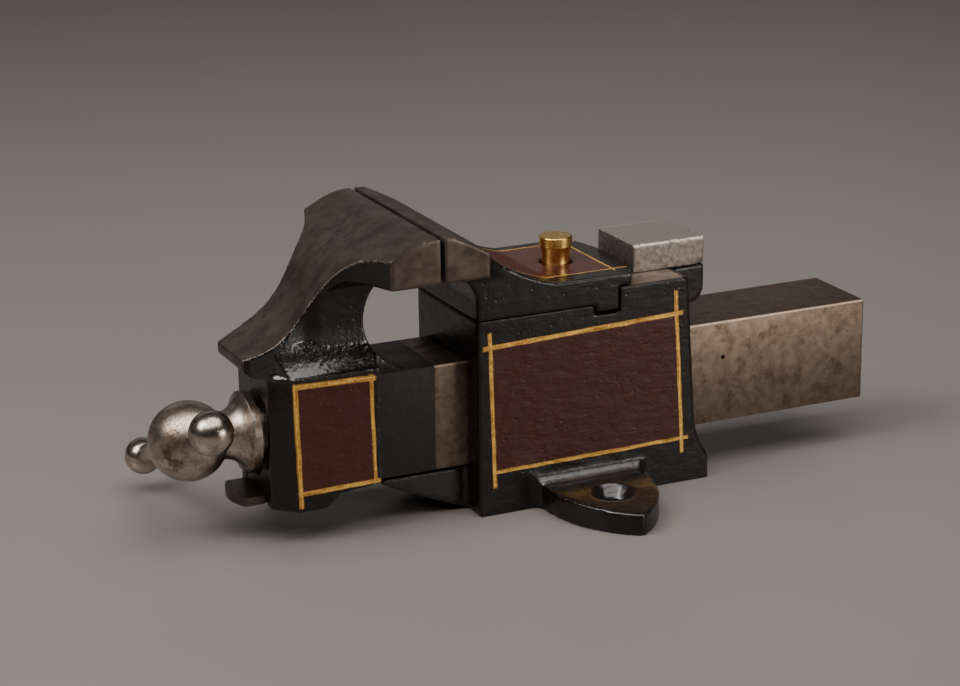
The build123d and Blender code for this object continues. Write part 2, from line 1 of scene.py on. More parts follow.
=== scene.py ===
import math

import bpy
import numpy
from mathutils import Matrix, Vector


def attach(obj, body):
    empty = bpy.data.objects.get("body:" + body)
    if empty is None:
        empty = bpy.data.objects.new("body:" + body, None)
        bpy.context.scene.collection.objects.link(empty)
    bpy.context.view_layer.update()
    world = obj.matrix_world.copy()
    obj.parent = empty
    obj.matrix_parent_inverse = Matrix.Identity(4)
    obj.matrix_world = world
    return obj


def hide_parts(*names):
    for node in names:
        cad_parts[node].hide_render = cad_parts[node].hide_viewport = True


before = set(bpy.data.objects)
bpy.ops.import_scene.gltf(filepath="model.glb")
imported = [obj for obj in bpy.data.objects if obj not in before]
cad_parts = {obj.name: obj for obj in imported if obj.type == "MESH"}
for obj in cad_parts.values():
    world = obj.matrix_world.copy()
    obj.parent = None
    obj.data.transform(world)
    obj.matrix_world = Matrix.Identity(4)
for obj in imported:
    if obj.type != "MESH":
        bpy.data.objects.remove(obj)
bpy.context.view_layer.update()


# The bench top, the camera and the lights. The vise stands on a plain pale surface with
# a faint sheen, under a long soft light overhead, with a weak wide one behind it, one high
# at its left and one low at its right. The camera looks down at the near front corner.
MM = 0.001
aim_point = Vector((-0.022988, 0.002929, 0.043558))
camera_distance = 0.7676
camera_heading = -24.669
camera_tilt = 17.532
camera_roll = -0.788

camera_data = bpy.data.cameras.new("camera")
camera_data.lens = 100.0
camera = bpy.data.objects.new("camera", camera_data)
bpy.context.scene.collection.objects.link(camera)
facing = (Matrix.Rotation(math.radians(camera_heading), 4, "Z")
          @ Matrix.Rotation(math.radians(90 - camera_tilt), 4, "X")
          @ Matrix.Rotation(math.radians(camera_roll), 4, "Z"))
camera.matrix_world = Matrix.Translation(aim_point + facing.col[2].xyz * camera_distance) @ facing
bpy.context.scene.camera = camera

world = bpy.data.worlds.new("studio")
bpy.context.scene.world = world
world.use_nodes = True
room_colour = (0.80, 0.76, 0.73, 1)
room_strength = 0.05
world.node_tree.nodes["Background"].inputs["Color"].default_value = room_colour
world.node_tree.nodes["Background"].inputs["Strength"].default_value = room_strength


def soft_light(name, direction, distance, width, height, watts, colour):
    """A flat soft light that faces the vise."""
    data = bpy.data.lights.new(name, "AREA")
    data.shape = "RECTANGLE"
    data.size = width
    data.size_y = height
    data.energy = watts
    data.color = colour
    light = bpy.data.objects.new(name, data)
    bpy.context.scene.collection.objects.link(light)
    away = Vector(direction).normalized()
    along = (Vector((1, 0, 0)) - away * away.x).normalized()
    turned = Matrix((along, away.cross(along), away)).transposed().to_4x4()
    light.matrix_world = Matrix.Translation(aim_point + away * distance) @ turned


soft_light("overhead_light", direction=(-0.05, -0.27, 0.90), distance=0.95, width=1.4, height=0.8,
           watts=12.0, colour=(1.0, 0.95, 0.90))
soft_light("back_light", direction=(0.15, 0.93, 0.42), distance=1.1, width=1.3, height=0.45,
           watts=0.5, colour=(1.0, 0.95, 0.90))
soft_light("left_light", direction=(-0.64, -0.02, 0.62), distance=0.95, width=0.5, height=0.45,
           watts=6.4, colour=(1.0, 0.96, 0.92))
soft_light("right_light", direction=(0.58, -0.80, 0.15), distance=0.95, width=0.40, height=0.22,
           watts=2.5, colour=(1.0, 0.93, 0.86))


# Every finish is a node tree. A wire is one socket of it, and arithmetic on wires
# adds the maths nodes, so that a mask is written as an expression.
class Wire:
    """One output socket of a finish."""

    def __init__(self, finish, socket):
        self.finish = finish
        self.socket = socket

    def maths(self, operation, *values):
        return self.finish.node("ShaderNodeMath", {"operation": operation}, *values)

    def __add__(self, other):
        return self.maths("ADD", self, other)

    def __radd__(self, other):
        return self.maths("ADD", other, self)

    def __sub__(self, other):
        return self.maths("SUBTRACT", self, other)

    def __rsub__(self, other):
        return self.maths("SUBTRACT", other, self)

    def __mul__(self, other):
        return self.maths("MULTIPLY", self, other)

    def __rmul__(self, other):
        return self.maths("MULTIPLY", other, self)

    def __abs__(self):
        return self.maths("ABSOLUTE", self)

    def most(self, other):
        return self.maths("MAXIMUM", self, other)


class Finish:
    """A material, with its object coordinates in millimetres."""

    def __init__(self, name, **constants):
        self.material = bpy.data.materials.new(name)
        self.material.use_nodes = True
        self.tree = self.material.node_tree
        self.shader = self.tree.nodes["Principled BSDF"]
        for socket, value in constants.items():
            self.shader.inputs[socket.replace("_", " ")].default_value = value
        object_place = self.node("ShaderNodeTexCoord", {}, output="Object")
        self.place = self.node("ShaderNodeVectorMath", {"operation": "SCALE"}, object_place, Scale=1 / MM)
        self.x = self.node("ShaderNodeSeparateXYZ", {}, self.place, output="X")
        self.y = self.node("ShaderNodeSeparateXYZ", {}, self.place, output="Y")
        self.z = self.node("ShaderNodeSeparateXYZ", {}, self.place, output="Z")

    def node(self, kind, settings, *values, output=0, **named):
        """Add a node: its settings first, then its sockets by order and by name."""
        node = self.tree.nodes.new(kind)
        for key, value in settings.items():
            setattr(node, key, value)
        for socket, value in [*enumerate(values), *named.items()]:
            place = node.inputs[socket if isinstance(socket, int) else socket.replace("_", " ")]
            if isinstance(value, Wire):
                self.tree.links.new(value.socket, place)
            else:
                place.default_value = value
        return Wire(self, node.outputs[output])

    def noise(self, size, detail=3.0, roughness=0.55, stretch=(1, 1, 1), shift=0.0):
        """Cloudy noise from 0 to 1, its blots about this many millimetres long."""
        scale = tuple(1 / (size * s) for s in stretch)
        place = self.node("ShaderNodeMapping", {}, self.place, Scale=scale, Location=(shift, shift, shift))
        return self.node("ShaderNodeTexNoise", {}, place, Scale=1.0, Detail=detail, Roughness=roughness)

    def cells(self, size, shift=0.0):
        """Distance to the nearest of scattered points about this far apart, in their own spacing."""
        place = self.node("ShaderNodeMapping", {}, self.place, Scale=(1 / size,) * 3, Location=(shift,) * 3)
        return self.node("ShaderNodeTexVoronoi", {"feature": "F1"}, place, Scale=1.0, Randomness=1.0)

    def ramp(self, value, low, high):
        """0 below low and 1 above high, smooth between."""
        return self.node("ShaderNodeMapRange", {"interpolation_type": "SMOOTHSTEP"}, value,
                         From_Min=low, From_Max=high)

    def mix(self, amount, first, second):
        """From the first colour to the second."""
        node = self.tree.nodes.new("ShaderNodeMix")
        node.data_type = "RGBA"
        for socket, value in ((0, amount), (6, first), (7, second)):
            if isinstance(value, Wire):
                self.tree.links.new(value.socket, node.inputs[socket])
            elif socket == 0:
                node.inputs[socket].default_value = value
            else:
                node.inputs[socket].default_value = (*value, 1)
        return Wire(self, node.outputs[2])

    def bump(self, height):
        """The normal of a skin that stands this many millimetres proud."""
        return self.node("ShaderNodeBump", {}, Height=height, Distance=MM)

    def attribute(self, name):
        """A number painted on the piece's points."""
        return self.node("ShaderNodeAttribute", {"attribute_name": name}, output="Fac")

    def wear(self, **wires):
        """Lead wires to the shader's own sockets."""
        for socket, wire in wires.items():
            self.tree.links.new(wire.socket, self.shader.inputs[socket.replace("_", " ")])
        return self.material


floor_finish = Finish("pale_bench", Roughness=0.42)
bench_tones = ((0.192, 0.176, 0.168), (0.218, 0.201, 0.192))
bench_width = 8.0
floor_tone = floor_finish.mix(floor_finish.noise(260, 4), *bench_tones)
floor_finish.wear(Base_Color=floor_tone, Normal=floor_finish.bump(floor_finish.noise(0.8, 2) * 0.004))

bpy.ops.object.select_all(action="DESELECT")
bpy.ops.mesh.primitive_plane_add(size=bench_width)
floor = bpy.context.object
floor.name = "bench_top"
floor.data.materials.append(floor_finish.material)


# Base casting. One block of sand-cast grey iron holds the slide channel, the foot, the nose
# under the slide and two pointed lugs. It is brushed with thick gloss black, with a maroon
# panel inside crossing gold lines on each side, and the ledge by the anvil is left bare.
weld_distance = 0.002


def select_only(piece):
    """Make this the one selected, active object."""
    bpy.ops.object.select_all(action="DESELECT")
    piece.select_set(True)
    bpy.context.view_layer.objects.active = piece


def copy_of(node, name):
    """A new piece that starts as a welded copy of a CAD node."""
    piece = bpy.data.objects.new(name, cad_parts[node].data.copy())
    bpy.context.scene.collection.objects.link(piece)
    piece.data.materials.clear()
    select_only(piece)
    bpy.ops.object.mode_set(mode="EDIT")
    bpy.ops.mesh.select_all(action="SELECT")
    bpy.ops.mesh.remove_doubles(threshold=weld_distance * MM)
    bpy.ops.mesh.customdata_custom_splitnormals_clear()
    bpy.ops.object.mode_set(mode="OBJECT")
    return piece


def modify(piece, kind, **settings):
    """Add one modifier and apply it."""
    modifier = piece.modifiers.new(kind.lower(), kind)
    for key, value in settings.items():
        setattr(modifier, key, value)
    select_only(piece)
    bpy.ops.object.modifier_apply(modifier=modifier.name)


def skin(piece, grain, passes):
    """An even skin of small faces, with the edges worn a little round."""
    modify(piece, "REMESH", mode="VOXEL", voxel_size=grain * MM, use_smooth_shade=True)
    modify(piece, "SMOOTH", factor=0.5, iterations=passes)


def points(piece):
    """The piece's points in millimetres, and its point normals."""
    count = len(piece.data.vertices)
    place = numpy.zeros(count * 3)
    normal = numpy.zeros(count * 3)
    piece.data.vertices.foreach_get("co", place)
    piece.data.vertices.foreach_get("normal", normal)
    return place.reshape(-1, 3) / MM, normal.reshape(-1, 3)


def lumps(piece, rough, size, height):
    """Raise and sink the skin where rough is true, in lumps of this size."""
    group = piece.vertex_groups.new(name="rough")
    for index in numpy.nonzero(rough)[0]:
        group.add([int(index)], 1.0, "REPLACE")
    cloud = bpy.data.textures.new(piece.name + "_lumps", "CLOUDS")
    cloud.noise_scale = size * MM
    modify(piece, "DISPLACE", texture=cloud, vertex_group="rough", strength=height * MM, mid_level=0.62)
    piece.vertex_groups.clear()


def dent(piece, spots):
    """Press dents into the skin: each is a place, a radius and a depth in millimetres."""
    place, normal = points(piece)
    for x, y, z, radius, depth in spots:
        away = ((place - (x, y, z)) ** 2).sum(axis=1)
        place -= normal * (depth * numpy.exp(-away / radius ** 2))[:, None]
    piece.data.vertices.foreach_set("co", (place * MM).ravel())
    piece.data.update()


def nicks(start, end, count, seed, radius=(0.4, 1.1), depth=(0.08, 0.35)):
    """Dents scattered along an edge."""
    chance = numpy.random.RandomState(seed)
    start = numpy.array(start)
    end = numpy.array(end)
    return [(*(start + (end - start) * chance.rand()), chance.uniform(*radius), chance.uniform(*depth))
            for _ in range(count)]


def paint(piece, name, amount):
    """Store one number per point for the finish to read."""
    layer = piece.data.attributes.new(name, "FLOAT", "POINT")
    layer.data.foreach_set("value", numpy.asarray(amount, dtype=numpy.float32))


def paint_edges(piece):
    """Store how far each point stands out from its neighbours, for the paint to wear through there."""
    place, normal = points(piece)
    ends = numpy.zeros(len(piece.data.edges) * 2, dtype=int)
    piece.data.edges.foreach_get("vertices", ends)
    first, second = ends.reshape(-1, 2).T
    share = numpy.bincount(ends, minlength=len(place))[:, None].clip(1)
    for _ in range(2):
        pull = numpy.zeros_like(place)
        numpy.add.at(pull, first, place[second])
        numpy.add.at(pull, second, place[first])
        pull = pull / share
        proud = ((place - pull) * normal).sum(axis=1)
        place = pull
    paint(piece, "edge", proud)


def settle(piece, body, slot, material, *nodes):
    """Finish a piece: its material, what it rides on and what it stands for."""
    piece.data.materials.clear()
    piece.data.materials.append(material)
    piece.data.polygons.foreach_set("material_index", [0] * len(piece.data.polygons))
    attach(piece, body)
    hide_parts(*nodes)


def stroke(finish, level, line, seed):
    """One brushed line between two points of the X axis and a level: its paint, the side of
    it a point lies on, and its painted glint, brightest towards the middle of the line."""
    start, end, width = line
    run = math.hypot(end[0] - start[0], end[1] - start[1])
    ux = (end[0] - start[0]) / run
    uz = (end[1] - start[1]) / run
    x = finish.x - start[0]
    z = level - start[1]
    along = x * ux + z * uz
    across = z * ux - x * uz
    place = finish.node("ShaderNodeCombineXYZ", {}, along * 0.13, across * 2.4, seed)
    hairs = finish.node("ShaderNodeTexNoise", {}, place, Scale=1.0, Detail=4.0, Roughness=0.62)
    waver = across + (finish.noise(7.0, 2, shift=seed) - 0.5) * 0.35
    inside = width / 2 - abs(waver) + (hairs - 0.5) * 0.45
    ends = run / 2 - abs(along - run / 2) + (hairs - 0.5) * 3.0
    line = finish.ramp(inside, -0.06, 0.10) * finish.ramp(ends, -0.3, 0.3)
    # Painted glint: the gold is painted brighter in flecks and towards the middle of the line, standing in
    # for light caught by the gold paint.
    glint = finish.noise(0.55, 3, 0.7, shift=seed + 0.5)
    bright = finish.ramp(hairs * 0.6 + glint * 0.4, 0.42, 0.56) * finish.ramp(inside, -0.05, width * 0.3)
    return line, finish.ramp(waver, -0.1, 0.1), line * bright


blacks = ((0.0030, 0.0025, 0.0022), (0.0085, 0.0064, 0.0050))
maroons = ((0.040, 0.0085, 0.0060), (0.068, 0.0150, 0.0100))
pit_maroon = (0.012, 0.0022, 0.0018)
# A dark gold and a bright gold; the bright gold is painted glint on the gold lines.
gold_and_glint_tones = ((0.44, 0.20, 0.035), (1.0, 0.60, 0.14))
chipped_tone = (0.085, 0.060, 0.045)


def enamel(name, panels, bare_tones):
    """Thick black gloss, with maroon panels edged in gold, and bare iron where it is painted so."""
    finish = Finish(name, Specular_IOR_Level=0.38, Coat_Roughness=0.17)
    cloud = finish.noise(9.0, 4)
    black = finish.mix(cloud, *blacks)
    pits = finish.ramp(finish.cells(2.6, shift=5.0), 0.10, 0.24)
    specks = finish.ramp(finish.noise(1.7, 3, 0.6, shift=9.0), 0.58, 0.74)
    maroon = finish.mix(finish.noise(5.0, 4, shift=1.0), *maroons)
    maroon = finish.mix((1 - pits) * specks, maroon, pit_maroon)
    colour = black
    gilded = 0.0
    gold_glint = 0.0
    for filled, lines, bright in panels(finish):
        colour = finish.mix(filled, colour, maroon)
        gilded = lines.most(gilded)
        gold_glint = bright.most(gold_glint)
    # The gold lines run from dark gold to bright gold where the painted glints fall.
    gold = finish.mix(gold_glint, *gold_and_glint_tones)
    colour = finish.mix(gilded, colour, gold)
    brushed = finish.noise(1.5, 4, 0.6, stretch=(2.5, 2.5, 1), shift=3.0)
    ripples = finish.noise(3.2, 3, 0.5, stretch=(2.2, 2.2, 1), shift=2.0)
    height = ripples * 0.9 + brushed * 0.9 + pits * 0.30
    hammered = finish.attribute("hammered")
    lumpy = finish.noise(1.05, 3, 0.55, shift=4.0) * hammered
    ragged = (finish.noise(1.8, 4, 0.7, shift=17.0) - 0.5) * 1.6
    chipped = finish.ramp(finish.attribute("edge") * 9.0 + ragged, 0.75, 1.05)
    dark, light, brown = bare_tones
    fleck = finish.noise(0.7, 3, shift=6.0) - 0.5
    colour = finish.mix(chipped * 0.8, colour, chipped_tone)
    edge = finish.ramp(finish.attribute("bare") + fleck * 0.25, 0.44, 0.56)
    iron = finish.mix(finish.ramp(finish.noise(6.0, 5, 0.62, shift=8.0), 0.34, 0.66), dark, light)
    iron = finish.mix(finish.ramp(finish.noise(15.0, 4, 0.6, shift=11.0), 0.50, 0.70), iron, brown)
    iron = finish.mix(finish.ramp(finish.noise(1.1, 4, 0.7, shift=15.0), 0.60, 0.78) * 0.6, iron,
                      tuple(tone * 0.35 for tone in dark))
    iron = finish.mix(chipped * 0.6, iron, tuple(tone * 2.2 for tone in light))
    colour = finish.mix(edge, colour, iron)
    grain = finish.noise(0.28, 3, 0.6, shift=12.0)
    scratched = finish.noise(0.35, 3, 0.6, stretch=(14, 2, 14), shift=13.0)
    relief = (height * 0.16 + lumpy * 0.24) * (1 - edge) + (grain * 0.6 + scratched * 0.4) * edge * 0.014
    gloss = 0.22 + cloud * 0.10 + gilded * 0.10 - hammered * 0.08
    sheen = gloss * (1 - edge) + (0.34 + grain * 0.18) * edge
    metal = (edge * 0.9).most(gilded * 0.6).most(chipped * 0.5)
    finish.wear(Base_Color=colour, Roughness=sheen, Metallic=metal,
                Coat_Weight=hammered * (1 - edge) * (1 - chipped), Normal=finish.bump(relief))
    return finish.material


def four_sided(finish, left, right, top, bottom, where, seed):
    """A panel of one colour inside four brushed gold lines, on the part of the skin where allows."""
    sides = [stroke(finish, finish.z, line, seed + k) for k, line in enumerate((left, right, top, bottom))]
    lines = sides[0][0].most(sides[1][0]).most(sides[2][0].most(sides[3][0]))
    bright = sides[0][2].most(sides[1][2]).most(sides[2][2].most(sides[3][2]))
    filled = (1 - sides[0][1]) * sides[1][1] * (1 - sides[2][1]) * sides[3][1]
    return filled * where, lines * where, bright * where


side_left = ((-29.8, 8.2), (-30.9, 54.1), 1.3)
side_right = ((30.4, 9.2), (27.9, 58.5), 1.25)
side_top = ((-33.0, 49.8), (30.4, 51.8), 1.45)
side_bottom = ((-30.4, 12.8), (32.4, 13.6), 1.2)


def base_panels(finish):
    sides = finish.ramp(abs(finish.y), 20.3, 20.6)
    return [four_sided(finish, side_left, side_right, side_top, side_bottom, sides, seed=20.0)]


casting_wave = 5.0
casting_height = 0.16
pin_bore_reach = 4.4
pin_bore_floor = 46.0
pin_play = 0.18
base = copy_of("base_body", "base_casting")
skin(base, grain=0.6, passes=2)
place, normal = points(base)
x, y, z = place.T
from_middle = numpy.abs(y)
sideways = numpy.abs(normal[:, 1])
outside = (from_middle > 21.2) | ((sideways > 0.7) & (from_middle > 20.5)) | (x < -36)
on_lug = (from_middle > 21.5) & (normal[:, 2] > 0.3)
on_nose = (x < -35.5) & (z < 14)
on_ledge = (z > 61.9) & (from_middle < 20.2) & (x < 30.6)
lumps(base, outside & (z > 0.8), casting_wave, casting_height)
lumps(base, on_lug, size=1.0, height=0.13)
paint_edges(base)
for vertex in base.data.vertices:
    from_pin = math.hypot(vertex.co.x, vertex.co.y) / MM
    if from_pin < pin_bore_reach and vertex.co.z > pin_bore_floor * MM:
        vertex.co.x *= 1 + pin_play / from_pin
        vertex.co.y *= 1 + pin_play / from_pin
paint(base, "bare", on_ledge)
paint(base, "hammered", on_lug * 0.8 + on_nose * 0.5)
ledge_tones = ((0.28, 0.225, 0.185), (0.50, 0.42, 0.36), (0.33, 0.22, 0.15))
settle(base, "base", "black_paint", enamel("base_enamel", base_panels, ledge_tones), "base_body")


# Main nut and its bolt. A square block of cast iron stands on the floor of the channel and
# takes the screw, and a socket-headed steel bolt holds it from under the base.
def steel(name, dark, light, stain, stain_share=0.5, blot=7.0, gloss=0.36, scratch=(14, 2, 14), pitting=0.0,
          painted_before=None, highlight_ridge=None, ground_and_lit_above=None, pit=None):
    """Old bare steel: mottled grey, brown stains, fine scratches and pits. A bar may have black
    paint before a place, a painted highlight along the edges where its half width and height add up,
    a top face painted lighter above a height, partly its grinding and partly painted light, and one deep
    pit."""
    finish = Finish(name)
    cloud = finish.noise(blot, 6, 0.65)
    speckle = finish.noise(blot * 0.09, 3, 0.7, shift=2.0)
    tone = finish.mix(finish.ramp(cloud + (speckle - 0.5) * 0.9, 0.26, 0.74), dark, light)
    stains = finish.ramp(finish.noise(blot * 2.1, 5, 0.65, shift=5.0) + (speckle - 0.5) * 0.4,
                         0.72 - stain_share * 0.4, 0.92 - stain_share * 0.4)
    tone = finish.mix(stains, tone, stain)
    lines = finish.noise(0.30, 3, 0.6, stretch=scratch, shift=7.0)
    pits = finish.ramp(finish.cells(2.4, shift=9.0), 0.05, 0.13)
    holes = (1 - pits) * finish.ramp(finish.noise(4.0, 2, shift=4.0), 0.52, 0.62) * pitting
    tone = finish.mix(holes, tone, tuple(c * 0.25 for c in dark))
    relief = lines * 0.010 + speckle * 0.012 - holes * 0.10
    rough = gloss + (lines - 0.5) * 0.10 + stains * 0.12 + (speckle - 0.5) * 0.14
    metal = 1 - stains * 0.15
    if highlight_ridge is not None:
        # Painted highlight: a thin band along the long top edges is painted lighter, where light catches the
        # edge.
        painted_edge_highlight = finish.ramp(abs(finish.y) + finish.z + (speckle - 0.5) * 0.8, highlight_ridge - 0.75, highlight_ridge - 0.35)
        tone = finish.mix(painted_edge_highlight, tone, tuple(c * 2.0 for c in light))
    if ground_and_lit_above is not None:
        # The top face is painted lighter and streaked by the scratches: partly its grinding, partly painted
        # light falling from above.
        ground_and_lit_top = finish.ramp(finish.z, ground_and_lit_above - 0.2, ground_and_lit_above) * (0.35 + lines * 0.6)
        tone = finish.mix(ground_and_lit_top, tone, tuple(c * 1.6 for c in light))
    if pit is not None:
        from_pit = finish.node("ShaderNodeVectorMath", {"operation": "DISTANCE"}, finish.place, pit,
                               output="Value")
        hole = finish.ramp(from_pit + (speckle - 0.5) * 0.5, 0.75, 0.45)
        tone = finish.mix(hole, tone, (0.008, 0.006, 0.005))
        relief = relief - hole * 0.3
    if painted_before is not None:
        ragged = (speckle - 0.5) * 1.4
        bare = finish.ramp(finish.x + ragged, painted_before - 0.25, painted_before + 0.25)
        tone = finish.mix(bare, finish.mix(cloud, (0.008, 0.006, 0.005), (0.016, 0.012, 0.009)), tone)
        relief = relief * bare + (1 - bare) * (cloud * 0.15 + 0.05)
        metal = metal * bare
    finish.wear(Base_Color=tone, Normal=finish.bump(relief), Roughness=rough, Metallic=metal)
    return finish.material


def cover(material, *names):
    """Give CAD nodes this finish."""
    for name in names:
        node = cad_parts[name]
        node.data.materials.clear()
        node.data.materials.append(material)


nut_tones = ((0.060, 0.050, 0.043), (0.13, 0.11, 0.095), (0.075, 0.042, 0.026))
bolt_tones = ((0.11, 0.095, 0.085), (0.24, 0.21, 0.19), (0.10, 0.058, 0.036))
cover(steel("nut_iron", *nut_tones, stain_share=0.5, gloss=0.48), "main_nut")
bolt_steel = steel("bolt_steel", *bolt_tones, stain_share=0.4, blot=3.0, gloss=0.40)
cover(bolt_steel, "nut_bolt")


# Swivel bolt and washer. The rear jaw turns about a slotted steel bolt, whose head sits on
# a turned washer in the roof of the channel.
cover(bolt_steel, "swivel_bolt", "swivel_washer")


# Anvil block. A slab of bare steel doweled to the ledge, its top and sides ground long
# ago and scratched since, its edges nicked, with one rear corner rounded.
front, rear = 19.4, 42.5
near, far = -11, 11
rounded_corner = 4
bottom, top = 62.5, 70.65
anvil = copy_of("anvil_block", "anvil_slab")
skin(anvil, grain=0.24, passes=2)
dent(anvil, nicks((front, near, top), (rear, near, top), count=16, seed=1)
     + nicks((front, near, top), (front, far, top), count=12, seed=2)
     + nicks((rear, near, top), (rear, rounded_corner, top), count=8, seed=3)
     + nicks((front, near, bottom), (rear, near, bottom), count=8, seed=4)
     + nicks((22, -8, top), (40, 8, top), count=10, seed=5, radius=(0.5, 1.4), depth=(0.03, 0.12)))
anvil_tones = ((0.17, 0.146, 0.128), (0.38, 0.340, 0.310), (0.20, 0.150, 0.11))
# The anvil's top face is painted lighter, partly as painted light from above, and its long top edges carry a
# painted highlight.
settle(anvil, "base", "bare_steel",
       steel("anvil_steel", *anvil_tones, stain_share=0.30, blot=1.6, gloss=0.50, scratch=(2, 2, 14),
             pitting=0.8, highlight_ridge=81.4, ground_and_lit_above=70.5),
       "anvil_block")
cover(bolt_steel, "anvil_dowels")


# Rear jaw casting and its plate. The flat tail turns about the bolt in the base, a rib runs
# in the groove, and the back sweeps up to the head, which is left bare on top and at its
# ends. The hardened plate is fitted flush, so that only a hairline shows, and is riveted.
def casting_with_plate(casting, plate, rivets, names, box, grain):
    """The casting and the plate, worn round as one, then parted at the plate's back and underside."""
    whole = copy_of(casting, names[0])
    for node in (plate, rivets):
        part = copy_of(node, "filling")
        modify(whole, "BOOLEAN", operation="UNION", solver="EXACT", object=part)
        bpy.data.objects.remove(part)
    skin(whole, grain, passes=2)
    facing_piece = bpy.data.objects.new(names[1], whole.data.copy())
    bpy.context.scene.collection.objects.link(facing_piece)
    low, high = box
    for piece, operation in ((whole, "DIFFERENCE"), (facing_piece, "INTERSECT")):
        bpy.ops.object.select_all(action="DESELECT")
        bpy.ops.mesh.primitive_cube_add(size=1)
        cutter = bpy.context.object
        corners = list(zip(low, high))
        for vertex in cutter.data.vertices:
            vertex.co = [corners[k][vertex.co[k] > 0] * MM for k in range(3)]
        modify(piece, "BOOLEAN", operation=operation, solver="MANIFOLD", object=cutter)
        bpy.ops.object.shade_smooth_by_angle(angle=math.radians(40))
        bpy.data.objects.remove(cutter)
    return whole, facing_piece


def tail_panels(finish):
    top = finish.ramp(finish.z, 64.6, 64.9)
    crest = finish.ramp(finish.z, 78.0, 78.4)
    near = stroke(finish, finish.y, ((15.7, -14.6), (-31.0, -14.6), 0.75), 30.0)
    rear = stroke(finish, finish.y, ((10.7, -16.4), (10.7, 17.6), 0.75), 31.0)
    far = stroke(finish, finish.y, ((14.0, 16.8), (-31.0, 16.8), 0.75), 32.0)
    back = stroke(finish, finish.y, ((-34.8, -30.0), (-34.8, 30.0), 0.7), 33.0)
    lines = (near[0].most(rear[0]).most(far[0]) * top).most(back[0] * crest)
    bright = (near[2].most(rear[2]).most(far[2]) * top).most(back[2] * crest)
    behind = finish.ramp(finish.x, -34.2, -33.6).most(finish.ramp(finish.z, 72.0, 73.0))
    filled = (1 - near[1]) * rear[1] * far[1] * (1 - back[1]) * top * behind
    return [(filled, lines, bright)]


small_nick = ((0.4, 0.9), (0.05, 0.2))


def fit_facing(piece, body, edge_x, seed, finish, node):
    """Finish a jaw face: bare all over, with nicks along its top edge."""
    dent(piece, nicks((edge_x, -31, 86.4), (edge_x, 31, 86.4), 14, seed, *small_nick))
    count = len(piece.data.vertices)
    paint(piece, "bare", numpy.ones(count))
    paint(piece, "hammered", numpy.zeros(count))
    paint(piece, "edge", numpy.zeros(count))
    settle(piece, body, "jaw_steel", finish, node)


head_half_width = 31.4
head_underside = 73.0
rear_box = ((-49.3, -33.0, 73.6), (-45.1, 33.0, 87.0))
rear_jaw, rear_plate = casting_with_plate("swivel_jaw", "rear_jaw_plate", "rear_plate_rivets",
                                          ("rear_jaw_casting", "rear_jaw_facing"), rear_box, 0.44)
jaw_tones = ((0.074, 0.058, 0.047), (0.140, 0.112, 0.093), (0.100, 0.070, 0.050))
rear_finish = enamel("rear_jaw_enamel", tail_panels, jaw_tones)
place, normal = points(rear_jaw)
x, y, z = place.T
on_tail = (z > 62.8) & (x > -44) & ((numpy.abs(y) < 20.5) | (x > -30))
lumps(rear_jaw, on_tail, casting_wave, casting_height)
head_end = (numpy.abs(y) > head_half_width) & (z > head_underside)
head_top = (x < -35.6) & (normal[:, 2] > 0.4) & (z > 78)
paint(rear_jaw, "bare", head_end | head_top)
paint(rear_jaw, "hammered", numpy.zeros(len(x)))
paint_edges(rear_jaw)
settle(rear_jaw, "rear_jaw", "black_paint", rear_finish, "swivel_jaw")
fit_facing(rear_plate, "rear_jaw", edge_x=-49.1, seed=11, finish=rear_finish, node="rear_jaw_plate")
cover(bolt_steel, "rear_plate_rivets")


# Lock pin. A steel shank drops through the tail into the base and stops the swivel, with a
# turned brass knob, waisted for the fingers and dulled in its waist.
cover(bolt_steel, "lock_pin")
brass_tones = ((0.62, 0.34, 0.080), (1.0, 0.66, 0.22), (0.50, 0.27, 0.07))
cover(steel("brass", *brass_tones, stain_share=0.25, blot=3.0, gloss=0.27), "lock_pin_knob")


# Front jaw casting and its plate. The curved spine and head are filed bright and have
# darkened since, above black walls, a lumpy shoulder and an eight-sided box with a small
# maroon panel on each side. A patch of hammer marks lies on the head.
box_left = ((-87.0, 10.7), (-87.8, 46.5), 1.5)
box_right = ((-64.8, 14.8), (-65.5, 46.4), 1.15)
box_top = ((-88.4, 46.0), (-64.2, 45.3), 1.7)
box_bottom = ((-87.6, 14.8), (-63.4, 15.2), 1.45)


def front_panels(finish):
    sides = finish.ramp(abs(finish.y), 17.0, 17.3)
    return [four_sided(finish, box_left, box_right, box_top, box_bottom, sides, seed=40.0)]


front_box = ((-54.1, -33.0, 73.6), (-49.9, 33.0, 87.0))
front_jaw, front_plate = casting_with_plate("front_jaw", "front_jaw_plate", "front_plate_rivets",
                                            ("front_jaw_casting", "front_jaw_facing"), front_box, 0.46)
front_finish = enamel("front_jaw_enamel", front_panels, jaw_tones)
place, normal = points(front_jaw)
x, y, z = place.T
from_middle = numpy.abs(y)
sideways = numpy.abs(normal[:, 1])
shoulder_gap = 11
lumps(front_jaw, (z < 73) & (sideways > 0.4), casting_wave, casting_height)
on_shoulder = (z > 47) & (z < 59) & (from_middle > shoulder_gap) & (sideways > 0.3)
lumps(front_jaw, on_shoulder, size=0.9, height=0.24)
patch_x, patch_y = -66.5, 4.5
patch_length, patch_width = 4.6, 6.4
chance = numpy.random.RandomState(31)
marks = [(patch_x, patch_y, 81.0, 5.0, 0.25)]
for _ in range(46):
    turn = chance.uniform(-math.pi, math.pi)
    reach = chance.uniform(0.35, 1.0)
    mark_x = patch_x + patch_length * reach * math.cos(turn)
    mark_y = patch_y + patch_width * reach * math.sin(turn)
    marks.append((mark_x, mark_y, 82 + (mark_x + 64.5) * 0.48, chance.uniform(0.45, 0.75),
                  chance.uniform(0.12, 0.36) * reach))
dent(front_jaw, marks + nicks((-58, -32, 85), (-70, -20, 79), 8, 21, *small_nick))
